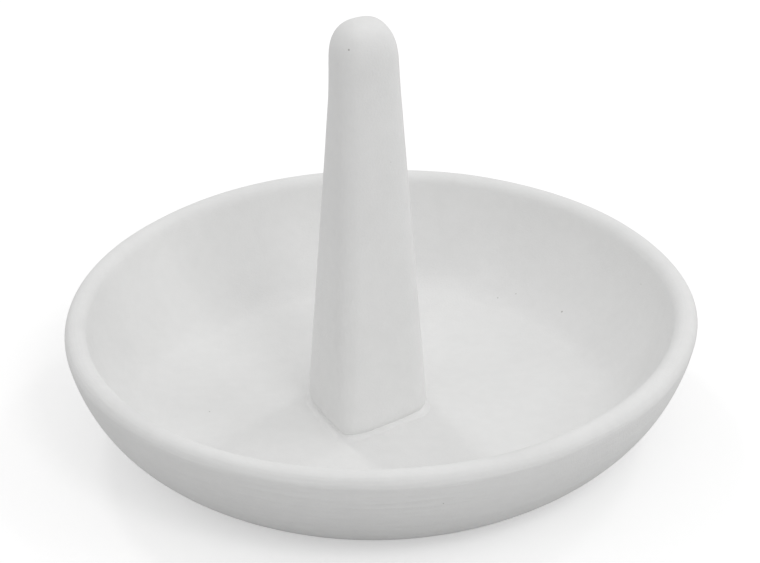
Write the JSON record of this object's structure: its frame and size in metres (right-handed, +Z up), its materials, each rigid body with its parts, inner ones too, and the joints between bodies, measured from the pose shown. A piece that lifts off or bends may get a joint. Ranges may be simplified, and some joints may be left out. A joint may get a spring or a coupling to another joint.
{
  "type": "ring dish",
  "caption": "Shallow round bowl in unglazed white bisque, with a rounded lip and an upright tapered post in the middle that finger rings drop over.",
  "frame": {"origin": "middle of the foot, on the surface that the dish stands on", "axes": "+Z up out of the bowl, -Y towards the side that the picture shows, +X to the right as seen from there"},
  "size_m": [0.115, 0.115, 0.0828],
  "materials": {
    "bisque": "matte unglazed white bisque, very fine grain",
    "fired_slip": "matte fired slip, slightly smoother and lighter than the bisque"
  },
  "bodies": {
    "root": {"dish": "bisque", "ring_post": "bisque", "slip_bed": "fired_slip", "base_coil": "fired_slip"}
  },
  "joints": []
}
